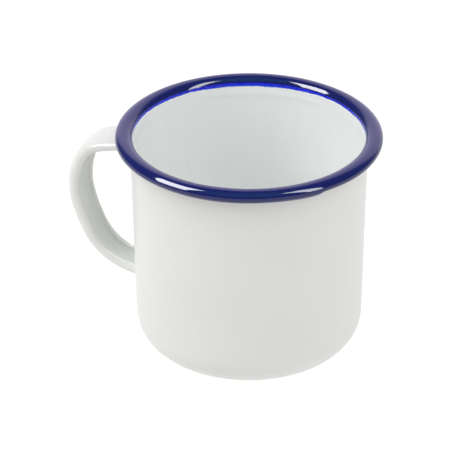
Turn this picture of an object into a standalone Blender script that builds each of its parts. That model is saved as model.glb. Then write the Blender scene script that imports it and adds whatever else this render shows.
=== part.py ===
"""Enamelled steel mug with a rolled rim and one channel-section handle.

Units are metres and +Z is up. The origin is the centre of the flat base, and the
handle points along -X. Run with: blender --background --python part.py
"""

import math

import bmesh
import bpy

MM = 0.001

# Cup, in millimetres. Radii and heights are those of the enamelled surface.
RIM_CENTRE_RADIUS = 42.0  # middle of the rolled rim
RIM_CENTRE_HEIGHT = 77.5
RIM_HALF_WIDTH = 2.9  # the roll is slightly flattened
RIM_HALF_HEIGHT = 2.2
WALL_RADIUS_TOP = 40.0  # outside of the wall at the rim's middle height
WALL_RADIUS_BOTTOM = 38.8  # outside of the wall where the corner begins
CORNER_RADIUS = 11.7  # between the wall and the base
BLUE_LINE_INSIDE = 76.7  # height where the blue rim meets the white lining
BLUE_LINE_OUTSIDE = 75.9  # crease under the roll

# Layers, in millimetres
COAT = 0.2  # enamel
BOND_GAP = 0.05  # clearance between an enamel coat and the steel under it
STEEL = 0.4  # cup sheet
STRIP_STEEL = 0.7  # handle sheet
STRIP_TOTAL = STRIP_STEEL + 2 * (COAT + BOND_GAP)

# Handle, in millimetres. The loop is the crown of the strip's outer face. It leaves the
# cup's wall and turns down and back to it along tangent arcs.
LOOP_START = (40.0, 71.4)  # distance from the cup's axis, height
LOOP_START_FALL = 7.0  # degrees below level
LOOP_ARCS = (
    # radius, degrees of turn
    (90.0, 9.0),  # upper arm
    (14.0, 51.0),  # top bend
    (29.0, 37.0),  # outer arm
    (60.0, 12.0),  # straighter run down
    (24.0, 42.0),  # lower bend
    (40.0, 11.0),  # lower arm
)
STRIP_WIDTH = (17.4, 10.3)  # at the upper end and at the lower end
STRIP_DEPTH = (3.3, 6.1)  # from the crown of the face to the lips
STRIP_CROWN = 0.6  # rise of the face's middle over its edges
LIP_LEAN = (5.0, 25.0)  # degrees that each flange leans in over the channel
BEND_RADIUS = 2.0  # between the face and a flange

# Handle ends, in millimetres outwards from the wall's enamelled surface
SLEEVE_END = 0.1  # handle enamel
WELD_INNER = -0.2
WELD_OUTER = 0.55
STRIP_END = 0.6

# Mesh fineness
TURN_STEPS = 48
CORNER_STEPS = 6
ROLL_STEP_ANGLE = math.radians(22.5)
STEEL_ROLL_STEPS = 13  # the steel curl stops short of the wall
BLUE_ROLL_STEPS = 14  # the blue coat closes the crease
BEND_STEPS = 5
FACE_STEPS = 4  # across the strip's face
LOOP_STEPS = 26
SHARP_ANGLE = math.radians(30)

WALL_SLOPE = (WALL_RADIUS_TOP - WALL_RADIUS_BOTTOM) / (RIM_CENTRE_HEIGHT - CORNER_RADIUS)
WALL_ANGLE = -math.atan(WALL_SLOPE)  # of the wall's outward normal, from level


def clear_scene():
    for old in list(bpy.data.objects):
        bpy.data.objects.remove(old, do_unlink=True)


def make_material(name, colour, metallic, roughness):
    material = bpy.data.materials.new(name)
    material.use_nodes = True
    shader = material.node_tree.nodes["Principled BSDF"]
    shader.inputs["Base Color"].default_value = (*colour, 1.0)
    shader.inputs["Metallic"].default_value = metallic
    shader.inputs["Roughness"].default_value = roughness
    material.diffuse_color = (*colour, 1.0)
    return material


def finish_object(name, bm, material):
    """Turns a closed bmesh into a smooth-shaded object with its faces pointing out."""
    bmesh.ops.recalc_face_normals(bm, faces=bm.faces)
    mesh = bpy.data.meshes.new(name)
    bm.to_mesh(mesh)
    bm.free()
    mesh.shade_smooth()
    mesh.set_sharp_from_angle(angle=SHARP_ANGLE)
    mesh.materials.append(material)
    made = bpy.data.objects.new(name, mesh)
    bpy.context.scene.collection.objects.link(made)
    return made


# Turned pieces: an outline of (radius, height) points spun round the cup's axis


def wall_radius(height, depth=0.0):
    """Radius of the tapered wall, or of a layer lying depth inside it."""
    outside = WALL_RADIUS_TOP + WALL_SLOPE * (height - RIM_CENTRE_HEIGHT)
    return outside - depth / math.cos(WALL_ANGLE)


def cup_outline(depth, top):
    """Base centre, rounded corner and wall of the layer that lies depth below the outside."""
    centre = WALL_RADIUS_BOTTOM - CORNER_RADIUS * math.cos(WALL_ANGLE)
    start = -math.pi / 2
    points = [(0.0, depth)]
    for step in range(CORNER_STEPS + 1):
        angle = start + (WALL_ANGLE - start) * step / CORNER_STEPS
        radius = CORNER_RADIUS - depth
        points.append((centre + radius * math.cos(angle), CORNER_RADIUS + radius * math.sin(angle)))
    points.append((wall_radius(top, depth), top))
    return points


def roll_outline(depth, steps):
    """The rolled rim's section, from the inside of the cup over the top and round beneath."""
    points = []
    for step in range(steps + 1):
        angle = math.pi - ROLL_STEP_ANGLE * step
        radius = RIM_CENTRE_RADIUS + (RIM_HALF_WIDTH - depth) * math.cos(angle)
        height = RIM_CENTRE_HEIGHT + (RIM_HALF_HEIGHT - depth) * math.sin(angle)
        points.append((radius, height))
    return points


def turned(name, outline, material, closed=False):
    """Spins an outline. An open one starts and ends on the axis."""
    bm = bmesh.new()
    verts = [bm.verts.new((radius * MM, 0.0, height * MM)) for radius, height in outline]
    edges = [bm.edges.new(pair) for pair in zip(verts, verts[1:])]
    if closed:
        edges.append(bm.edges.new((verts[-1], verts[0])))
    bmesh.ops.spin(
        bm,
        geom=verts + edges,
        axis=(0, 0, 1),
        cent=(0, 0, 0),
        angle=2 * math.pi,
        steps=TURN_STEPS,
        use_merge=True,
    )
    bmesh.ops.remove_doubles(bm, verts=bm.verts, dist=0.0001 * MM)
    return finish_object(name, bm, material)


def make_steel_cup(material):
    """Pressed cup whose edge curls outwards and down into the rim's roll."""
    shallow = COAT + BOND_GAP
    deep = shallow + STEEL
    drink_side = cup_outline(deep, BLUE_LINE_OUTSIDE) + roll_outline(shallow, STEEL_ROLL_STEPS)
    outer_side = cup_outline(shallow, BLUE_LINE_OUTSIDE) + roll_outline(deep, STEEL_ROLL_STEPS)
    return turned("steel_cup", drink_side + outer_side[::-1], material)


def make_outer_enamel(material, windows):
    """White coat on the wall and base, open where the welds reach the steel."""
    top = BLUE_LINE_OUTSIDE - BOND_GAP
    outline = cup_outline(0.0, top) + cup_outline(COAT, top)[::-1]
    coat = turned("outer_enamel", outline, material)
    cut = coat.modifiers.new("weld_windows", "BOOLEAN")
    cut.operation = "DIFFERENCE"
    cut.solver = "EXACT"
    cut.object = windows
    return coat


def make_inner_enamel(material):
    top = BLUE_LINE_INSIDE - BOND_GAP
    depth = COAT + BOND_GAP + STEEL + BOND_GAP
    outline = cup_outline(depth + COAT, top) + cup_outline(depth, top)[::-1]
    return turned("inner_enamel", outline, material)


def make_rim_enamel(material):
    """Blue coat, from the colour line inside, over the roll and into the crease beneath it."""
    inside = wall_radius(BLUE_LINE_INSIDE, COAT + BOND_GAP + STEEL + BOND_GAP + COAT)
    outer_side = [(inside, BLUE_LINE_INSIDE)] + roll_outline(0.0, BLUE_ROLL_STEPS)
    steel_side = [(inside + COAT, BLUE_LINE_INSIDE)] + roll_outline(COAT, BLUE_ROLL_STEPS)
    return turned("rim_enamel", outer_side + steel_side[::-1], material, closed=True)


# Handle pieces: a channel section carried along the loop


def loop_point(place):
    """Point and direction of the handle's loop, from place 0 at its upper end to 1 at its lower."""
    left = place * sum(radius * math.radians(turn) for radius, turn in LOOP_ARCS)
    across, height = LOOP_START
    fall = math.radians(LOOP_START_FALL)
    for radius, turn in LOOP_ARCS:
        run = min(left, radius * math.radians(turn))
        end = fall + run / radius
        across += radius * (math.sin(end) - math.sin(fall))
        height += radius * (math.cos(end) - math.cos(fall))
        fall = end
        left -= run
    return (across, height), (math.cos(fall), -math.sin(fall))


def unit(across, along):
    length = math.hypot(across, along)
    return across / length, along / length


def blend(ends, place):
    """Value at place between its value at the upper end and at the lower end."""
    return ends[0] + (ends[1] - ends[0]) * place


def channel_contour(place):
    """Outer contour of the channel, lip to lip, as (sideways, depth) points."""
    half_width = blend(STRIP_WIDTH, place) / 2
    lean = math.radians(blend(LIP_LEAN, place))
    flat = half_width - BEND_RADIUS
    bend_depth = STRIP_CROWN + BEND_RADIUS
    bend = []
    for step in range(BEND_STEPS + 1):
        angle = -lean + (math.pi / 2 + lean) * step / BEND_STEPS
        bend.append((flat + BEND_RADIUS * math.cos(angle), bend_depth - BEND_RADIUS * math.sin(angle)))
    flange = (blend(STRIP_DEPTH, place) - bend[0][1]) / math.cos(lean)
    lip = (bend[0][0] - flange * math.sin(lean), bend[0][1] + flange * math.cos(lean))
    side = [lip] + bend
    face = []
    for step in range(1, FACE_STEPS):
        across = 1.0 - 2.0 * step / FACE_STEPS
        face.append((flat * across, STRIP_CROWN * across**2))
    return side + face + [(-sideways, deep) for sideways, deep in reversed(side)]


def inset_contour(contour, amount, shorten):
    """Moves a contour into the channel's sheet and draws its two ends back from the lips."""
    runs = [unit(b[0] - a[0], b[1] - a[1]) for a, b in zip(contour, contour[1:])]
    moved = []
    for index, (sideways, deep) in enumerate(contour):
        before = runs[max(index - 1, 0)]
        after = runs[min(index, len(runs) - 1)]
        mean = unit(before[0] + after[0], before[1] + after[1])
        reach = amount / (mean[0] * after[0] + mean[1] * after[1])
        moved.append([sideways + mean[1] * reach, deep - mean[0] * reach])
    for end, run, sense in ((0, runs[0], 1), (-1, runs[-1], -1)):
        moved[end][0] += sense * run[0] * shorten
        moved[end][1] += sense * run[1] * shorten
    return moved


def channel_loop(place, depth):
    """Closed outline of the strip's section, or of a layer lying depth below its surface."""
    contour = channel_contour(place)
    outer = inset_contour(contour, depth, depth)
    inner = inset_contour(contour, STRIP_TOTAL - depth, depth)
    return outer + inner[::-1]


def place_loop(place, outline):
    """Turns (sideways, depth) points into (radius, sideways, height) points on the loop."""
    (radius, height), run = loop_point(place)
    return [
        (radius + run[1] * deep, sideways, height - run[0] * deep) for sideways, deep in outline
    ]


def seat_on_wall(points, offset):
    """Slides points radially until they lie offset outside the cup's wall."""
    seated = []
    for _, sideways, height in points:
        reach = wall_radius(height) + offset
        seated.append((math.sqrt(reach**2 - sideways**2), sideways, height))
    return seated


def handle_rings(depth, end_offsets):
    """Rings of points for one layer of the handle, with rings seated on the wall at both ends."""
    places = [step / LOOP_STEPS for step in range(LOOP_STEPS + 1)]
    rings = [place_loop(place, channel_loop(place, depth)) for place in places]
    upper_end = [seat_on_wall(rings[0], offset) for offset in end_offsets]
    lower_end = [seat_on_wall(rings[-1], offset) for offset in reversed(end_offsets)]
    return upper_end + rings[1:-1] + lower_end


def add_ring(bm, ring):
    return [bm.verts.new((-radius * MM, sideways * MM, height * MM)) for radius, sideways, height in ring]


def join_rings(bm, first, second):
    for index in range(len(first)):
        following = (index + 1) % len(first)
        bm.faces.new((first[index], first[following], second[following], second[index]))


def cap_channel(bm, ring):
    """Closes a channel-shaped end, quad by quad across the sheet."""
    last = len(ring) - 1
    for index in range(len(ring) // 2 - 1):
        bm.faces.new((ring[index], ring[index + 1], ring[last - index - 1], ring[last - index]))


def add_channel(bm, rings):
    """Adds a solid channel through the rings."""
    placed = [add_ring(bm, ring) for ring in rings]
    for first, second in zip(placed, placed[1:]):
        join_rings(bm, first, second)
    cap_channel(bm, placed[0])
    cap_channel(bm, placed[-1])


def make_handle_strip(material):
    bm = bmesh.new()
    add_channel(bm, handle_rings(COAT + BOND_GAP, [STRIP_END]))
    return finish_object("handle_strip", bm, material)


def make_handle_enamel(material):
    bm = bmesh.new()
    ends = [SLEEVE_END, STRIP_END]
    outside = [add_ring(bm, ring) for ring in handle_rings(0.0, ends)]
    inside = [add_ring(bm, ring) for ring in handle_rings(COAT, ends)]
    for layer in (outside, inside):
        for first, second in zip(layer, layer[1:]):
            join_rings(bm, first, second)
    join_rings(bm, outside[0], inside[0])
    join_rings(bm, outside[-1], inside[-1])
    return finish_object("handle_enamel", bm, material)


def end_block(place, depth, inner_offset, outer_offset):
    """Two rings that make a short piece of the channel at one end of the handle."""
    ring = place_loop(place, channel_loop(place, depth))
    return [seat_on_wall(ring, inner_offset), seat_on_wall(ring, outer_offset)]


def make_weld(name, place, material):
    bm = bmesh.new()
    add_channel(bm, end_block(place, COAT + BOND_GAP, WELD_INNER, WELD_OUTER))
    return finish_object(name, bm, material)


def make_weld_windows(material):
    """Cutter for the two openings in the cup's enamel that the welds pass through."""
    bm = bmesh.new()
    for place in (0.0, 1.0):
        add_channel(bm, end_block(place, COAT, -3 * COAT, 3 * COAT))
    cutter = finish_object("weld_window_cutter", bm, material)
    cutter.hide_render = True
    cutter.display_type = "WIRE"
    return cutter


def main():
    clear_scene()
    bare_steel = (0.32, 0.33, 0.34)
    weld_steel = (0.20, 0.20, 0.21)
    white = (0.80, 0.80, 0.79)
    lining_white = (0.72, 0.76, 0.76)
    cobalt = (0.004, 0.010, 0.090)
    windows = make_weld_windows(make_material("cutter", white, 0.0, 0.5))
    make_steel_cup(make_material("cup_steel", bare_steel, 1.0, 0.45))
    make_outer_enamel(make_material("outside_white", white, 0.0, 0.35), windows)
    make_inner_enamel(make_material("inside_white", lining_white, 0.0, 0.2))
    make_rim_enamel(make_material("rim_blue", cobalt, 0.0, 0.08))
    make_handle_strip(make_material("strip_steel", bare_steel, 1.0, 0.45))
    make_handle_enamel(make_material("handle_white", white, 0.0, 0.25))
    make_weld("upper_weld", 0.0, make_material("upper_weld_steel", weld_steel, 1.0, 0.6))
    make_weld("lower_weld", 1.0, make_material("lower_weld_steel", weld_steel, 1.0, 0.6))


main()
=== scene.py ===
"""Looks for the enamel mug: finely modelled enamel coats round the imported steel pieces,
node materials, a plain studio and the camera. Lengths are written in millimetres and
turned into metres where the meshes are made. The handle points along -X."""

import math

import bmesh
import bpy
from mathutils import Matrix, Vector, noise


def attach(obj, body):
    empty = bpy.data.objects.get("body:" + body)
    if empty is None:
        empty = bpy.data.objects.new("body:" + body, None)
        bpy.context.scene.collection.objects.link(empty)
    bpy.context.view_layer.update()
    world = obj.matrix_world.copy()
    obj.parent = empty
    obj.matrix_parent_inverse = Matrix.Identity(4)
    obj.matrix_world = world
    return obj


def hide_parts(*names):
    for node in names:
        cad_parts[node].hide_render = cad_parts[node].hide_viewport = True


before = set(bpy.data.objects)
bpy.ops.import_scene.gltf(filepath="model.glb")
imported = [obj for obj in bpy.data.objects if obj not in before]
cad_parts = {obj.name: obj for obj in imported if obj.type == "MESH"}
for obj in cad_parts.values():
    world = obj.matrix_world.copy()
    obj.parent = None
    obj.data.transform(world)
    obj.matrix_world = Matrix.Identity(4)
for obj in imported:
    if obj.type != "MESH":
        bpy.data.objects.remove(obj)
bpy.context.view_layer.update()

MM = 0.001
BODY = "root"

# Sizes of the CAD part, in millimetres
RIM_RADIUS = 42.0
RIM_HEIGHT = 77.5
RIM_HALF_WIDTH = 2.9
RIM_HALF_HEIGHT = 2.2
WALL_TOP = 40.0
WALL_BOTTOM = 38.8
CORNER = 11.7
LINE_INSIDE = 76.7
LINE_OUTSIDE = 75.9
COAT = 0.2
LINING_DEPTH = 0.9  # from the outside of the wall to the drink side
STRIP_TOTAL = 1.2
LOOP_START = (40.0, 71.4)  # distance from the cup's axis, height
LOOP_START_FALL = 7.0  # degrees below level
LOOP_ARCS = (
    # radius, degrees of turn
    (90.0, 9.0),  # upper arm
    (14.0, 51.0),  # top bend
    (29.0, 37.0),  # outer arm
    (60.0, 12.0),  # straighter run down
    (24.0, 42.0),  # lower bend
    (40.0, 11.0),  # lower arm
)
STRIP_WIDTH = (17.4, 10.3)
STRIP_DEPTH = (3.3, 6.1)
STRIP_CROWN = 0.6
LIP_LEAN = (5.0, 25.0)
BEND_RADIUS = 2.0
BEND_STOP = math.radians(45.0)  # where the bend gives way to the flange's curve
LIP_CURL = (0.3, 1.0)  # how far the lip rolls in past the CAD lip
DEEPER = 0.7  # how much deeper the flanges are where the outer arm begins
NEAR_TRIM = 1.4  # how much the -Y flange loses towards the lower end
LIP_ROUND = 1.6  # how much longer than wide the lip's rounding is
POOLING = 0.62  # the smaller, the more enamel fills the channel's corners
SKIN_MARGIN = 0.03  # keeps the handle inside the CAD box
WALL_SLOPE = (WALL_TOP - WALL_BOTTOM) / (RIM_HEIGHT - CORNER)
WALL_ANGLE = -math.atan(WALL_SLOPE)

# Camera, in millimetres and degrees
VIEW_AZIMUTH = 20.93  # of the camera about the cup's axis
BACK_AZIMUTH = 90.0 + VIEW_AZIMUTH  # of the rim's far point
CAMERA_BACK = 831.1
CAMERA_HEIGHT = 510.85
CAMERA_PITCH = 29.387
CAMERA_YAW = -0.539
CAMERA_ROLL = -0.246
SENSOR = 36.0
LENS = 223.0

TURNS = 288  # steps round the cup

# Studio, as radiance where white paper shows as 1
WORLD_SIDES = 0.42
WORLD_OVERHEAD = 1.2
WORLD_BELOW = 0.95
GLOSS_AROUND = (0.22, 0.26, 0.28)
GLOSS_FRONT = (0.3, 0.6, 0.42)
GLOSS_BEHIND = (1.28, 1.17, 1.42)
FLOOR_GLOW = 0.8
FLOOR_SHADE = 0.3
LEFT_LAMP = 3.1
RIGHT_LAMP = 1.6
LEFT_GLEAM = 18.0
RIGHT_GLEAM = 11.0


# Meshes


def finish_piece(name, bm, material, replaced):
    """Makes a closed bmesh into a smooth piece that stands for a CAD node."""
    bmesh.ops.recalc_face_normals(bm, faces=bm.faces)
    mesh = bpy.data.meshes.new(name)
    bm.to_mesh(mesh)
    bm.free()
    mesh.shade_smooth()
    mesh.materials.append(material)
    piece = bpy.data.objects.new(name, mesh)
    bpy.context.scene.collection.objects.link(piece)
    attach(piece, BODY)
    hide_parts(replaced)
    return piece


def wobble(azimuth, height, seed, lobes=2.0, tall=40.0):
    """Smooth noise from about -1 to 1 over the cup's surface."""
    where = Vector((math.cos(azimuth) * lobes, math.sin(azimuth) * lobes, height / tall + seed))
    return noise.noise(where) * 1.6


def wall_radius(height, depth=0.0):
    return WALL_TOP + WALL_SLOPE * (height - RIM_HEIGHT) - depth / math.cos(WALL_ANGLE)


def cup_side(depth, top, base_steps, corner_steps, wall_steps):
    """(radius, height) points of a layer: along the base, round the corner and up the wall."""
    centre = WALL_BOTTOM - CORNER * math.cos(WALL_ANGLE)
    start = -math.pi / 2
    points = [(centre * step / base_steps, depth) for step in range(base_steps)]
    radius = CORNER - depth
    for step in range(corner_steps + 1):
        angle = start + (WALL_ANGLE - start) * step / corner_steps
        points.append((centre + radius * math.cos(angle), CORNER + radius * math.sin(angle)))
    low = points[-1][1]
    for step in range(1, wall_steps + 1):
        height = low + (top - low) * step / wall_steps
        points.append((wall_radius(height, depth), height))
    return points


def spin(bm, rings):
    """Skins a list of rings; a ring is a list of (x, y, z) in millimetres, or one point."""
    placed = [[bm.verts.new((x * MM, y * MM, z * MM)) for x, y, z in ring] for ring in rings]
    for first, second in zip(placed, placed[1:]):
        skin(bm, first, second)
    return placed


def skin(bm, first, second):
    count = max(len(first), len(second))
    for index in range(count):
        following = (index + 1) % count
        if len(first) == 1:
            bm.faces.new((first[0], second[index], second[following]))
        elif len(second) == 1:
            bm.faces.new((first[index], first[following], second[0]))
        else:
            bm.faces.new((first[index], first[following], second[following], second[index]))


def turned_rings(outline, shape=None):
    """Rings for an outline of (radius, height); shape moves a point given its azimuth."""
    rings = []
    for radius, height in outline:
        if radius < 1e-6:
            rings.append([(0.0, 0.0, height)])
            continue
        ring = []
        for step in range(TURNS):
            azimuth = 2 * math.pi * step / TURNS
            r, z = shape(radius, height, azimuth) if shape else (radius, height)
            ring.append((r * math.cos(azimuth), r * math.sin(azimuth), z))
        rings.append(ring)
    return rings


def smooth_step(low, high, value):
    share = min(max((value - low) / (high - low), 0.0), 1.0)
    return share * share * (3 - 2 * share)


def make_outside(material):
    top = LINE_OUTSIDE + 0.25

    def uneven(radius, height, azimuth):
        """Slight unevenness of the pressed wall and a shallow dished base."""
        up_wall = smooth_step(CORNER * 0.4, CORNER * 1.4, height)
        radius += 0.035 * wobble(azimuth, height, 3.0, 1.6, 30.0) * up_wall
        dished = smooth_step(23.0, 20.0, radius) * (1.0 if height < 0.1 else 0.0)
        return radius, height + 0.1 * dished

    surface = turned_rings(cup_side(0.0, top, 16, 20, 40), uneven)
    hidden = turned_rings(cup_side(COAT, top, 4, 12, 10))
    bm = bmesh.new()
    spin(bm, surface + hidden[::-1])
    return finish_piece("outside_enamel", bm, material, "outer_enamel")


def make_lining(material):
    top = LINE_INSIDE + 0.5

    def pinched(radius, height, azimuth):
        """The wall is drawn in a little where the roll's crease lies outside it."""
        ridge = math.exp(-(((height - 73.9) / 1.15) ** 2))
        strength = 0.12 * (1.0 + 0.5 * wobble(azimuth, 0.0, 9.0, 1.2))
        up_wall = smooth_step(CORNER * 0.6, CORNER * 1.4, height)
        radius -= strength * ridge
        radius += 0.03 * wobble(azimuth, height, 5.0, 1.4, 26.0) * up_wall
        return radius, height

    surface = turned_rings(cup_side(LINING_DEPTH, top, 14, 20, 90), pinched)
    hidden = turned_rings(cup_side(LINING_DEPTH - COAT, top, 4, 12, 10))
    bm = bmesh.new()
    spin(bm, surface + hidden[::-1])
    return finish_piece("lining_enamel", bm, material, "inner_enamel")


def rim_point(angle, depth):
    """Point of the roll's section: angle is 180 degrees inside the cup and 90 on top."""
    radius = RIM_RADIUS + (RIM_HALF_WIDTH - depth) * math.cos(angle)
    height = RIM_HEIGHT + (RIM_HALF_HEIGHT - depth) * math.sin(angle)
    return radius, height


def rim_run(azimuth):
    """How far the glaze has run down the roll's outer side, with one abrupt end."""
    front = 0.1 * smooth_step(245.0, 270.0, azimuth)
    stop = smooth_step(321.5, 325.0, azimuth)
    swollen_run = 0.34 * smooth_step(300.0, 317.0, azimuth) * (1 - stop)
    starved = 0.2 * stop * (1 - smooth_step(328.0, 343.0, azimuth))
    return front * (1 - stop) + swollen_run - starved


def skirt_edge(azimuth):
    """Height of the blue glaze's lower edge inside the cup."""
    towards_back = (azimuth - BACK_AZIMUTH) / 24.0
    edge = LINE_INSIDE + 0.14 - 0.42 * math.exp(-(towards_back**4))
    edge += 0.13 * wobble(math.radians(azimuth), 0.0, 21.0, 5.0)
    edge += 0.10 * wobble(math.radians(azimuth), 0.0, 31.0, 22.0)
    return edge + 0.07 * wobble(math.radians(azimuth), 0.0, 41.0, 60.0)


def make_rim(material):
    """Blue glaze: a skirt with a ragged lower edge inside, then the whole roll."""
    roll_steps = 56
    under = math.radians(-135.0)
    lining = wall_radius(LINE_INSIDE, LINING_DEPTH)
    columns = []
    for step in range(TURNS * 3):
        azimuth = 2 * math.pi * step / (TURNS * 3)
        low = skirt_edge(math.degrees(azimuth))
        thick = 0.05
        column = [
            (lining + 0.02, low + 0.03),
            (lining - 0.2 * thick, low),
            (lining - 0.75 * thick, low + 0.06),
            (lining - thick, low + 0.16),
        ]
        drip = rim_run(math.degrees(azimuth))
        swell = max(-1.0, min(1.0, wobble(azimuth, 0.0, 51.0, 3.0)))
        for index in range(roll_steps + 1):
            angle = math.pi + (under - math.pi) * index / roll_steps
            radius, height = rim_point(angle, 0.02 * (1.0 - swell))
            if index < 5:
                radius -= thick * (1 - index / 5)
            below = max(-math.sin(angle), 0.0)
            outer = max(math.cos(angle), 0.0)
            height -= drip * below
            radius += 0.25 * drip * below * outer
            column.append((radius, height))
        for index in range(12):
            angle = under + (math.pi - under) * index / 12
            column.append(rim_point(angle, COAT))
        column.append((lining + COAT, LINE_INSIDE + 0.7))
        columns.append([(r * math.cos(azimuth), r * math.sin(azimuth), z) for r, z in column])
    bm = bmesh.new()
    placed = [[bm.verts.new((x * MM, y * MM, z * MM)) for x, y, z in column] for column in columns]
    for index, column in enumerate(placed):
        skin(bm, column, placed[(index + 1) % len(placed)])
    return finish_piece("rim_glaze", bm, material, "rim_enamel")


# Handle


def loop_point(place):
    """Point and direction of the handle's loop, from place 0 at its upper end to 1 at its lower."""
    left = place * sum(radius * math.radians(turn) for radius, turn in LOOP_ARCS)
    across, height = LOOP_START
    fall = math.radians(LOOP_START_FALL)
    for radius, turn in LOOP_ARCS:
        run = min(left, radius * math.radians(turn))
        end = fall + run / radius
        across += radius * (math.sin(end) - math.sin(fall))
        height += radius * (math.cos(end) - math.cos(fall))
        fall = end
        left -= run
    return (across, height), (math.cos(fall), -math.sin(fall))


def unit(across, along):
    length = math.hypot(across, along)
    return across / length, along / length


def blend(ends, place):
    return ends[0] + (ends[1] - ends[0]) * place


def half_contour(place, inset, trim=0.0):
    """One side of the channel's section, lip to middle, lying inset inside its outer face.

    The flange is one curve that rolls in towards the channel from the bend to the lip."""
    half_width = blend(STRIP_WIDTH, place) / 2
    lean = math.radians(blend(LIP_LEAN, place))
    flat = half_width - BEND_RADIUS
    bend_depth = STRIP_CROWN + BEND_RADIUS
    foot = (flat + BEND_RADIUS * math.cos(lean), bend_depth + BEND_RADIUS * math.sin(lean))
    depth = blend(STRIP_DEPTH, place) + DEEPER * math.exp(-(((place - 0.33) / 0.13) ** 2))
    straight = (depth - trim - foot[1]) / math.cos(lean)
    lip = (
        foot[0] - straight * math.sin(lean) - blend(LIP_CURL, place),
        foot[1] + straight * math.cos(lean),
    )
    start = (
        flat + BEND_RADIUS * math.cos(BEND_STOP),
        bend_depth - BEND_RADIUS * math.sin(BEND_STOP),
    )
    chord = (start[0] - lip[0], lip[1] - start[1])
    chord_lean = math.atan2(chord[0], chord[1])
    lip_lean = 2 * chord_lean + BEND_STOP
    radius = math.hypot(*chord) / (2 * math.sin((lip_lean + BEND_STOP) / 2))
    centre = (start[0] - radius * math.cos(BEND_STOP), start[1] + radius * math.sin(BEND_STOP))
    end = lip_lean - LIP_ROUND * STRIP_TOTAL / 2 / radius  # the lip's rounding takes the rest
    points = []
    flange_steps = 12
    for step in range(flange_steps):
        angle = end + (-BEND_STOP - end) * step / flange_steps
        reach = radius - inset
        points.append((centre[0] + reach * math.cos(angle), centre[1] + reach * math.sin(angle)))
    bend_steps = 8
    for step in range(bend_steps + 1):
        angle = BEND_STOP + (math.pi / 2 - BEND_STOP) * step / bend_steps
        reach = BEND_RADIUS - inset
        points.append((flat + reach * math.cos(angle), bend_depth - reach * math.sin(angle)))
    face_steps = 8
    for step in range(1, face_steps + 1):
        across = 1.0 - step / face_steps
        points.append((flat * across, STRIP_CROWN * across**2 + inset))
    return points


def crossing(start, along, end, back):
    """How far along each of two lines they meet."""
    turn = along.x * back.y - along.y * back.x
    gap = end - start
    return (gap.x * back.y - gap.y * back.x) / turn, (gap.x * along.y - gap.y * along.x) / turn


def near_trim(place):
    """How much shallower the -Y flange is than the +Y one."""
    return NEAR_TRIM * smooth_step(0.58, 0.84, place)


def hollow_contour(place, trim):
    """The channel side of half_contour, with the enamel pooled in the corner."""
    thin = [Vector(point) for point in half_contour(place, STRIP_TOTAL, trim)]
    leave, arrive = 6, 24
    start, end = thin[leave], thin[arrive]
    along = (thin[leave] - thin[leave - 1]).normalized()
    back = (thin[arrive] - thin[arrive + 1]).normalized()
    first, second = crossing(start, along, end, back)
    pull, push = start + along * first * POOLING, end + back * second * POOLING
    count = arrive - leave
    pooled = []
    for step in range(1, count):
        t = step / count
        spot = start * (1 - t) ** 3 + pull * 3 * t * (1 - t) ** 2
        pooled.append(spot + push * 3 * t * t * (1 - t) + end * t**3)
    return [(point.x, point.y) for point in thin[: leave + 1] + pooled + thin[arrive:]]


def half_section(place, trim):
    """Half of the closed outline, middle to lip to middle: (sideways, depth, insideness)."""
    outer = half_contour(place, SKIN_MARGIN, trim)
    inner = hollow_contour(place, trim)
    middle = Vector(((outer[0][0] + inner[0][0]) / 2, (outer[0][1] + inner[0][1]) / 2))
    out = Vector(outer[0]) - middle
    down = Vector((-out.y, out.x))
    if down.y < 0:
        down = -down
    lip = []
    lip_steps = 8
    for step in range(1, lip_steps):
        angle = math.pi * step / lip_steps
        spot = middle - out * math.cos(angle) + down * LIP_ROUND * math.sin(angle)
        lip.append((spot.x, spot.y, 1.0 - step / lip_steps))
    return [(*point, 1.0) for point in inner[::-1]] + lip + [(*point, 0.0) for point in outer]


def both_sides(right, left):
    return right + [(-point[0], *point[1:]) for point in reversed(left[1:-1])]


def section(place):
    """Closed outline of the channel with rounded lips."""
    return both_sides(half_section(place, 0.0), half_section(place, near_trim(place)))


def place_section(place, outline):
    (radius, height), run = loop_point(place)
    return [
        (radius + run[1] * deep, sideways, height - run[0] * deep) for sideways, deep, _ in outline
    ]


def seat_on_wall(ring, offset):
    seated = []
    for _, sideways, height in ring:
        reach = wall_radius(height) + offset
        seated.append((math.sqrt(reach**2 - sideways**2), sideways, height))
    return seated


def swollen(outline, amount):
    """Moves each point of an outline outwards by amount."""
    moved = []
    count = len(outline)
    for index, (x, y, share) in enumerate(outline):
        before = outline[index - 1]
        after = outline[(index + 1) % count]
        run = unit(after[0] - before[0], after[1] - before[1])
        part = amount * (1.0 - 0.6 * share)
        moved.append((x - run[1] * part, y + run[0] * part, share))
    return moved


def along_loop(outline_at, upper_gap, lower_gap):
    """Rings of a section swept along the handle's loop, clear of the cup's wall."""
    loop_steps = 150
    rings = []
    for step in range(1, loop_steps):
        place = step / loop_steps
        ring = place_section(place, outline_at(place))
        gap = min(radius - wall_radius(height) for radius, _, height in ring)
        if gap > (upper_gap if place < 0.5 else lower_gap):
            rings.append(ring)
    return rings


def skin_channel(rings, shares):
    """Skins rings into a closed channel; each vertex keeps its share of the channel's side."""
    bm = bmesh.new()
    layer = bm.verts.layers.float.new("channel_side")
    placed = []
    for ring in rings:
        row = []
        for (radius, sideways, height), share in zip(ring, shares):
            vert = bm.verts.new((-radius * MM, sideways * MM, height * MM))
            vert[layer] = share
            row.append(vert)
        placed.append(row)
    for first, second in zip(placed, placed[1:]):
        skin(bm, first, second)
    for ring in (placed[0], placed[-1]):
        cap_channel(bm, ring)
    return bm


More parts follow.
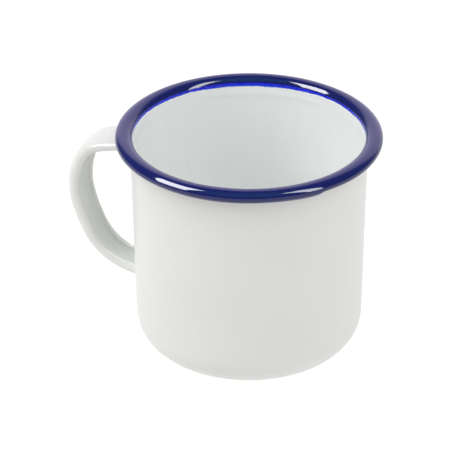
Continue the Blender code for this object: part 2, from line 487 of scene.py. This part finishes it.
def root_rings(place, arm_ring, flares):
    """Rings from the wall to the arm, flared out by the enamel that fills the joint."""
    outline = section(place)
    plain = place_section(place, outline)
    wider = place_section(place, swollen(outline, 1.0))
    seat = seat_on_wall(plain, 0.0)
    rings = []
    for share, flare, offset in flares:
        ring = []
        for spots in zip(seat, arm_ring, plain, wider):
            wall, arm, inside, outside = (Vector(spot) for spot in spots)
            ring.append(tuple(wall.lerp(arm, share) + (outside - inside) * flare))
        rings.append(ring if offset is None else seat_on_wall(ring, offset))
    return rings


def make_handle(material):
    upper_flares = (
        (0.0, 0.5, -0.06),
        (0.0, 0.34, 0.06),
        (0.1, 0.2, None),
        (0.25, 0.1, None),
        (0.5, 0.03, None),
    )
    lower_flares = (
        (0.0, 0.55, -0.06),
        (0.0, 0.42, 0.06),
        (0.07, 0.3, None),
        (0.16, 0.2, None),
        (0.3, 0.12, None),
        (0.5, 0.05, None),
        (0.75, 0.01, None),
    )
    arm = along_loop(section, 1.6, 2.6)
    rings = root_rings(0.0, arm[0], upper_flares) + arm
    rings += root_rings(1.0, arm[-1], lower_flares)[::-1]
    bm = skin_channel(rings, [point[2] for point in section(0.0)])
    return finish_piece("handle_glaze", bm, material, "handle_enamel")


def make_strip(material):
    """The steel inside the handle's enamel, bent to the same rolled section."""
    rings = [seat_on_wall(place_section(0.0, steel_section(0.0)), 0.1)]
    rings += along_loop(steel_section, 0.4, 0.4)
    rings.append(seat_on_wall(place_section(1.0, steel_section(1.0)), 0.1))
    bm = skin_channel(rings, [0.0] * len(rings[0]))
    return finish_piece("strip_steel", bm, material, "handle_strip")


def make_lower_weld(material):
    """Bead between the strip's lower end and the cup."""
    bead = ((-0.55, 0.0), (-0.1, 0.1), (0.05, 0.14), (0.2, 0.1), (0.32, 0.02))
    rings = [
        seat_on_wall(place_section(1.0, swollen(steel_section(1.0), size)), offset)
        for offset, size in bead
    ]
    bm = skin_channel(rings, [0.0] * len(rings[0]))
    return finish_piece("lower_weld_bead", bm, material, "lower_weld")


def steel_section(place):
    halves = []
    for trim in (0.0, near_trim(place)):
        outer = half_contour(place, COAT + 0.05, trim)
        inner = half_contour(place, STRIP_TOTAL - COAT - 0.05, trim)
        halves.append([(x, y, 0.0) for x, y in inner[::-1] + outer])
    return both_sides(*halves)


def cap_channel(bm, ring):
    """Closes a channel-shaped end, quad by quad from the face's middle to each lip."""
    count = len(ring)
    for side in (1, -1):
        inner, outer = 0, count // 2
        while outer - inner > 2:
            corners = (inner, inner + 1, outer - 1, outer)
            bm.faces.new([ring[side * corner] for corner in corners])
            inner += 1
            outer -= 1
        if outer - inner == 2:
            bm.faces.new((ring[side * inner], ring[side * (inner + 1)], ring[side * outer]))


# Materials


class Nodes:
    """Short calls for building one Principled material."""

    def __init__(self, name):
        self.material = bpy.data.materials.new(name)
        self.material.use_nodes = True
        self.tree = self.material.node_tree
        self.shader = self.tree.nodes["Principled BSDF"]
        self.coordinates = self.add("ShaderNodeTexCoord").outputs["Object"]

    def add(self, kind, **values):
        node = self.tree.nodes.new(kind)
        for key, value in values.items():
            setattr(node, key, value)
        return node

    def link(self, source, target):
        if isinstance(source, (int, float, tuple)):
            target.default_value = source
        else:
            self.tree.links.new(source, target)

    def noise(self, scale, detail=2.0, roughness=0.5, stretch=(1, 1, 1)):
        """Noise whose scale is features per millimetre."""
        mapping = self.add("ShaderNodeMapping")
        mapping.inputs["Scale"].default_value = [s / MM for s in stretch]
        self.link(self.coordinates, mapping.inputs["Vector"])
        node = self.add("ShaderNodeTexNoise")
        self.link(mapping.outputs["Vector"], node.inputs["Vector"])
        node.inputs["Scale"].default_value = scale
        node.inputs["Detail"].default_value = detail
        node.inputs["Roughness"].default_value = roughness
        return node.outputs["Fac"]

    def maths(self, operation, a, b=0.0, clamp=False):
        node = self.add("ShaderNodeMath", operation=operation, use_clamp=clamp)
        self.link(a, node.inputs[0])
        self.link(b, node.inputs[1])
        return node.outputs[0]

    def span(self, value, low, high, to_low=0.0, to_high=1.0, smooth=True):
        node = self.add("ShaderNodeMapRange", clamp=True)
        node.interpolation_type = "SMOOTHSTEP" if smooth else "LINEAR"
        self.link(value, node.inputs["Value"])
        node.inputs["From Min"].default_value = low
        node.inputs["From Max"].default_value = high
        node.inputs["To Min"].default_value = to_low
        node.inputs["To Max"].default_value = to_high
        return node.outputs["Result"]

    def mix(self, share, a, b):
        node = self.add("ShaderNodeMix", data_type="RGBA")
        self.link(share, node.inputs[0])
        self.link(a if not isinstance(a, tuple) else (*a, 1.0), node.inputs[6])
        self.link(b if not isinstance(b, tuple) else (*b, 1.0), node.inputs[7])
        return node.outputs[2]

    def height(self):
        """Height above the base, in millimetres."""
        split = self.add("ShaderNodeSeparateXYZ")
        self.link(self.coordinates, split.inputs[0])
        return self.maths("MULTIPLY", split.outputs["Z"], 1 / MM)

    def away_from(self, spot):
        """Distance to a spot given in millimetres, in millimetres."""
        node = self.add("ShaderNodeVectorMath", operation="DISTANCE")
        self.link(self.coordinates, node.inputs[0])
        node.inputs[1].default_value = [value * MM for value in spot]
        return self.maths("MULTIPLY", node.outputs["Value"], 1 / MM)

    def specks(self, per_mm, size, keep, seed=0.0):
        """Sparse round spots: 1 inside a spot, 0 elsewhere."""
        mapping = self.add("ShaderNodeMapping")
        mapping.inputs["Scale"].default_value = [1 / MM] * 3
        mapping.inputs["Location"].default_value = (seed, seed * 0.7, seed * 1.3)
        self.link(self.coordinates, mapping.inputs["Vector"])
        cells = self.add("ShaderNodeTexVoronoi", feature="F1")
        self.link(mapping.outputs["Vector"], cells.inputs["Vector"])
        cells.inputs["Scale"].default_value = per_mm
        reach = size * per_mm
        near = self.span(cells.outputs["Distance"], reach * 0.55, reach, 1.0, 0.0)
        split = self.add("ShaderNodeSeparateColor")
        self.link(cells.outputs["Color"], split.inputs[0])
        chosen = self.maths("LESS_THAN", split.outputs["Red"], keep)
        return self.maths("MULTIPLY", near, chosen)

    def bump(self, height, strength, distance, under=None):
        node = self.add("ShaderNodeBump")
        node.inputs["Strength"].default_value = strength
        node.inputs["Distance"].default_value = distance * MM
        self.link(height, node.inputs["Height"])
        if under is not None:
            self.link(under, node.inputs["Normal"])
        return node.outputs["Normal"]

    def surface(self, colour, roughness, normal=None, **constants):
        base = (*colour, 1.0) if isinstance(colour, tuple) else colour
        self.link(base, self.shader.inputs["Base Color"])
        self.link(roughness, self.shader.inputs["Roughness"])
        if normal is not None:
            self.link(normal, self.shader.inputs["Normal"])
        for key, value in constants.items():
            self.shader.inputs[key.replace("_", " ")].default_value = value
        return self.material


def enamel_white(name, colour, tint, rough, peel, speck_share):
    """Fired white enamel: slight cloudiness, fine orange peel, tiny specks and pin holes."""
    n = Nodes(name)
    cloud = n.span(n.noise(0.045, 2.0), 0.35, 0.65)
    colour = n.mix(cloud, colour, tint)
    grain = n.span(n.noise(1.1, 3.0, 0.6), 0.3, 0.7)
    colour = n.mix(n.maths("MULTIPLY", grain, 0.035), colour, (0.55, 0.55, 0.53))
    patch = n.span(n.noise(0.03, 1.0), 0.38, 0.62)
    dark = n.specks(0.55, 0.17, speck_share, 3.1)
    dark = n.maths("MULTIPLY", dark, n.maths("MULTIPLY_ADD", patch, 0.6), clamp=True)
    colour = n.mix(n.maths("MULTIPLY", dark, 0.4), colour, (0.25, 0.23, 0.2))
    pink = n.specks(0.4, 0.2, speck_share * 0.5, 17.7)
    colour = n.mix(n.maths("MULTIPLY", pink, 0.35), colour, (0.55, 0.25, 0.2))
    rough = n.span(n.noise(0.25, 3.0), 0.3, 0.7, rough - 0.03, rough + 0.04)
    fine = n.bump(n.noise(1.6, 2.0), 0.35, peel * 0.5)
    broad = n.bump(n.noise(0.28, 2.0), 0.5, peel * 2.0, fine)
    pits = n.bump(n.maths("MULTIPLY", dark, -1.0), 0.5, peel, broad)
    return n, colour, rough, pits


def make_outside_material():
    n, colour, rough, normal = enamel_white(
        "outside_white_enamel", (0.765, 0.757, 0.727), (0.752, 0.747, 0.728), 0.36, 0.012, 0.5
    )
    return n.surface(colour, rough, normal, IOR=1.5)


def make_handle_material():
    n, colour, rough, normal = enamel_white(
        "handle_white_enamel", (0.80, 0.80, 0.772), (0.79, 0.795, 0.77), 0.24, 0.007, 0.12
    )
    # Painted shade: the handle's white is made darker on the upper arm, from 60 to 68 mm high, to
    # stand in for less light falling there.
    upper_arm_shade = n.span(n.height(), 60.0, 68.0)
    colour = n.mix(n.maths("MULTIPLY", upper_arm_shade, 0.75), colour, (0.67, 0.675, 0.655))
    side = n.add("ShaderNodeAttribute", attribute_name="channel_side").outputs["Fac"]
    # Painted light: the channel's inside is given a lighter white than the outer faces, standing in
    # for light that reaches into the channel.
    colour = n.mix(n.maths("MULTIPLY", side, 0.9), colour, (0.90, 0.925, 0.90))
    n.link(n.span(side, 0.0, 1.0, 0.2, 0.6), n.shader.inputs["Specular IOR Level"])
    rough = n.maths("SUBTRACT", rough, n.maths("MULTIPLY", side, 0.1))
    return n.surface(colour, rough, normal, IOR=1.52)


RING_MARKS = ((135.0, 70.0), (145.0, 50.0), (65.0, 65.0))  # azimuth, height


def make_lining_material():
    # Painted light: the lining's white is set lighter than the outside's white, standing in for
    # light that reaches the cup's deep inside.
    n, colour, rough, normal = enamel_white(
        "inside_white_enamel", (0.895, 0.914, 0.900), (0.887, 0.910, 0.903), 0.22, 0.008, 0.12
    )
    for azimuth, height in RING_MARKS:
        radius = wall_radius(height, LINING_DEPTH)
        turn = math.radians(azimuth)
        spot = (radius * math.cos(turn), radius * math.sin(turn), height)
        away = n.away_from(spot)
        ring = n.maths("MULTIPLY", n.span(away, 0.55, 0.95), n.span(away, 1.0, 1.45, 1.0, 0.0))
        colour = n.mix(n.maths("MULTIPLY", ring, 0.06), colour, (0.35, 0.4, 0.4))
        normal = n.bump(ring, 0.3, 0.01, normal)
    return n.surface(colour, rough, normal, IOR=1.52)


def make_rim_material():
    """Deep cobalt glaze that turns bright where it thins out down the inside of the cup."""
    n = Nodes("rim_cobalt_glaze")
    split = n.add("ShaderNodeSeparateXYZ")
    n.link(n.coordinates, split.inputs[0])
    squares = [n.maths("POWER", split.outputs[axis], 2.0) for axis in "XY"]
    flat = n.maths("ADD", *squares)
    radius = n.maths("MULTIPLY", n.maths("SQRT", flat), 1 / MM)
    inner = n.span(radius, 39.6, 40.1, 1.0, 0.0)
    ragged = n.span(n.noise(0.9, 4.0, 0.65), 0.3, 0.7, -0.2, 0.2)
    height = n.maths("ADD", n.height(), ragged)
    thin = n.maths("MULTIPLY", n.span(height, 77.65, 77.95, 1.0, 0.0), inner)
    mottled = n.span(n.noise(0.9, 3.0), 0.3, 0.7)
    deep = n.mix(mottled, (0.001, 0.004, 0.088), (0.002, 0.006, 0.115))
    bright = n.mix(n.span(height, 76.4, 77.5, 1.0, 0.0), (0.0, 0.004, 0.72), (0.001, 0.06, 0.86))
    colour = n.mix(thin, deep, bright)
    fringe = n.maths("MULTIPLY", n.span(height, 76.15, 76.6, 1.0, 0.0), inner)
    colour = n.mix(n.maths("MULTIPLY", fringe, 0.55), colour, (0.2, 0.42, 0.85))
    grain = n.specks(0.7, 0.12, 0.25, 5.0)
    colour = n.mix(n.maths("MULTIPLY", grain, 0.3), colour, (0.1, 0.12, 0.3))
    rough = n.span(n.noise(0.5, 2.0), 0.3, 0.7, 0.04, 0.07)
    normal = n.bump(n.noise(0.45, 2.0), 0.4, 0.02)
    normal = n.bump(n.noise(2.2, 2.0), 0.3, 0.003, normal)
    return n.surface(colour, rough, normal, IOR=1.52)


SHEET_STEEL = ((0.27, 0.28, 0.29), (0.36, 0.37, 0.38), 0.42)  # dark, bright, roughness


def make_steel_material(name, dark, bright, rough):
    """Pickled sheet steel with a fine directional grain."""
    n = Nodes(name)
    streaks = n.span(n.noise(2.0, 3.0, 0.6, (1.0, 1.0, 0.08)), 0.3, 0.7)
    stain = n.span(n.noise(0.12, 3.0), 0.35, 0.65)
    colour = n.mix(streaks, dark, bright)
    colour = n.mix(n.maths("MULTIPLY", stain, 0.3), colour, (0.16, 0.13, 0.11))
    rough = n.span(streaks, 0.0, 1.0, rough - 0.08, rough + 0.1, smooth=False)
    return n.surface(colour, rough, n.bump(streaks, 0.3, 0.01), Metallic=1.0)


def give(node, material):
    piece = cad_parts[node]
    piece.data.materials.clear()
    piece.data.materials.append(material)


# Studio


def from_camera(azimuth, elevation, distance):
    """Point in metres at an azimuth to the right of the camera's side, as seen from the cup."""
    turn = math.radians(VIEW_AZIMUTH + azimuth)
    rise = math.radians(elevation)
    level = math.cos(rise)
    return Vector((math.sin(turn) * level, -math.cos(turn) * level, math.sin(rise))) * distance


def soft_box(name, azimuth, elevation, tilt, wide, tall, distance, radiance, diffuse, glossy):
    light = bpy.data.lights.new(name, "AREA")
    light.shape = "RECTANGLE"
    light.size = 2 * distance * math.tan(math.radians(wide / 2))
    light.size_y = 2 * distance * math.tan(math.radians(tall / 2))
    light.energy = radiance * math.pi * light.size * light.size_y
    lamp = bpy.data.objects.new(name, light)
    target = Vector((0.0, 0.0, 0.05))
    lamp.location = target + from_camera(azimuth, elevation, distance)
    turn = (target - lamp.location).to_track_quat("-Z", "Y").to_matrix().to_4x4()
    lamp.rotation_euler = (turn @ Matrix.Rotation(math.radians(tilt), 4, "Z")).to_euler()
    lamp.visible_camera = False
    lamp.visible_diffuse = diffuse
    lamp.visible_glossy = glossy
    bpy.context.scene.collection.objects.link(lamp)
    return lamp


def make_floor():
    bm = bmesh.new()
    bmesh.ops.create_grid(bm, x_segments=8, y_segments=8, size=4.0)
    mesh = bpy.data.meshes.new("floor")
    bm.to_mesh(mesh)
    bm.free()
    floor = bpy.data.objects.new("floor", mesh)
    bpy.context.scene.collection.objects.link(floor)
    n = Nodes("floor_white")
    n.link((1.0, 1.0, 1.0, 1.0), n.shader.inputs["Emission Color"])
    n.shader.inputs["Emission Strength"].default_value = FLOOR_GLOW
    shade = (FLOOR_SHADE, FLOOR_SHADE, FLOOR_SHADE)
    mesh.materials.append(n.surface(shade, 0.9, Specular_IOR_Level=0.0))
    floor.visible_diffuse = False
    return floor


def make_world():
    """White studio: bright overhead for matt surfaces, and darker there in reflections."""
    world = bpy.data.worlds.new("studio")
    bpy.context.scene.world = world
    world.use_nodes = True
    world.cycles.sampling_method = "NONE"
    tree = world.node_tree
    back = tree.nodes["Background"]
    coordinates = tree.nodes.new("ShaderNodeTexCoord").outputs["Generated"]

    def towards(direction, start, end, low, high):
        facing = tree.nodes.new("ShaderNodeVectorMath")
        facing.operation = "DOT_PRODUCT"
        tree.links.new(coordinates, facing.inputs[0])
        facing.inputs[1].default_value = direction
        ramp = tree.nodes.new("ShaderNodeMapRange")
        ramp.interpolation_type = "SMOOTHSTEP"
        tree.links.new(facing.outputs["Value"], ramp.inputs["Value"])
        names = ("From Min", "From Max", "To Min", "To Max")
        for key, value in zip(names, (start, end, low, high)):
            ramp.inputs[key].default_value = value
        return ramp.outputs["Result"]

    def tint(share, a, b):
        node = tree.nodes.new("ShaderNodeMix")
        node.data_type = "RGBA"
        tree.links.new(share, node.inputs[0])
        for socket, value in ((node.inputs[6], a), (node.inputs[7], b)):
            if isinstance(value, tuple):
                socket.default_value = (*value, 1.0)
            else:
                tree.links.new(value, socket)
        return node.outputs[2]

    def choose(share, a, b):
        node = tree.nodes.new("ShaderNodeMix")
        node.data_type = "FLOAT"
        tree.links.new(share, node.inputs[0])
        for socket, value in ((node.inputs[2], a), (node.inputs[3], b)):
            if isinstance(value, float):
                socket.default_value = value
            else:
                tree.links.new(value, socket)
        return node.outputs[0]

    above = towards((0.0, 0.0, 1.0), 0.5, 0.9, WORLD_SIDES, WORLD_OVERHEAD)
    under = towards((0.0, 0.0, -1.0), 0.0, 0.05, 0.0, 1.0)
    matt = choose(under, above, WORLD_BELOW)
    backdrop = towards(from_camera(172.0, 12.0, 1.0), 0.66, 0.86, 0.0, 1.0)
    front = towards(from_camera(0.0, 62.0, 1.0), 0.75, 0.95, 0.0, 1.0)
    shiny = tint(backdrop, tint(front, GLOSS_AROUND, GLOSS_FRONT), GLOSS_BEHIND)
    path = tree.nodes.new("ShaderNodeLightPath").outputs
    lit = tint(path["Is Glossy Ray"], matt, shiny)
    tree.links.new(tint(path["Is Camera Ray"], lit, (1.0, 1.0, 1.0)), back.inputs["Color"])
    back.inputs["Strength"].default_value = 1.0


def make_camera():
    data = bpy.data.cameras.new("camera")
    data.sensor_width = SENSOR
    data.lens = LENS
    data.clip_start = 0.05
    data.clip_end = 20.0
    camera = bpy.data.objects.new("camera", data)
    turn = math.radians(VIEW_AZIMUTH)
    spot = Vector((math.sin(turn) * CAMERA_BACK, -math.cos(turn) * CAMERA_BACK, CAMERA_HEIGHT)) * MM
    camera.matrix_world = (
        Matrix.Translation(spot)
        @ Matrix.Rotation(turn - math.radians(CAMERA_YAW), 4, "Z")
        @ Matrix.Rotation(math.radians(90 - CAMERA_PITCH), 4, "X")
        @ Matrix.Rotation(math.radians(CAMERA_ROLL), 4, "Z")
    )
    bpy.context.scene.collection.objects.link(camera)
    bpy.context.scene.camera = camera


make_outside(make_outside_material())
make_lining(make_lining_material())
make_rim(make_rim_material())
make_handle(make_handle_material())
give("steel_cup", make_steel_material("cup_steel_grain", *SHEET_STEEL))
make_strip(make_steel_material("strip_steel_grain", *SHEET_STEEL))
weld = make_steel_material("weld_steel_grain", (0.15, 0.15, 0.16), (0.24, 0.23, 0.23), 0.58)
give("upper_weld", weld)
make_lower_weld(weld)

make_floor()
make_world()
soft_box("left_soft_box", -78.0, 43.0, 25.0, 34.0, 46.0, 1.0, LEFT_LAMP, True, False)
soft_box("right_soft_box", 54.0, 30.0, -10.0, 26.0, 50.0, 1.0, RIGHT_LAMP, True, False)
soft_box("left_gleam", -77.0, 44.0, 25.0, 26.0, 45.0, 0.9, LEFT_GLEAM, False, True)
soft_box("right_gleam", 54.5, 36.0, 0.0, 14.0, 56.0, 0.9, RIGHT_GLEAM, False, True)
make_camera()
bpy.context.scene.view_settings.view_transform = "Standard"
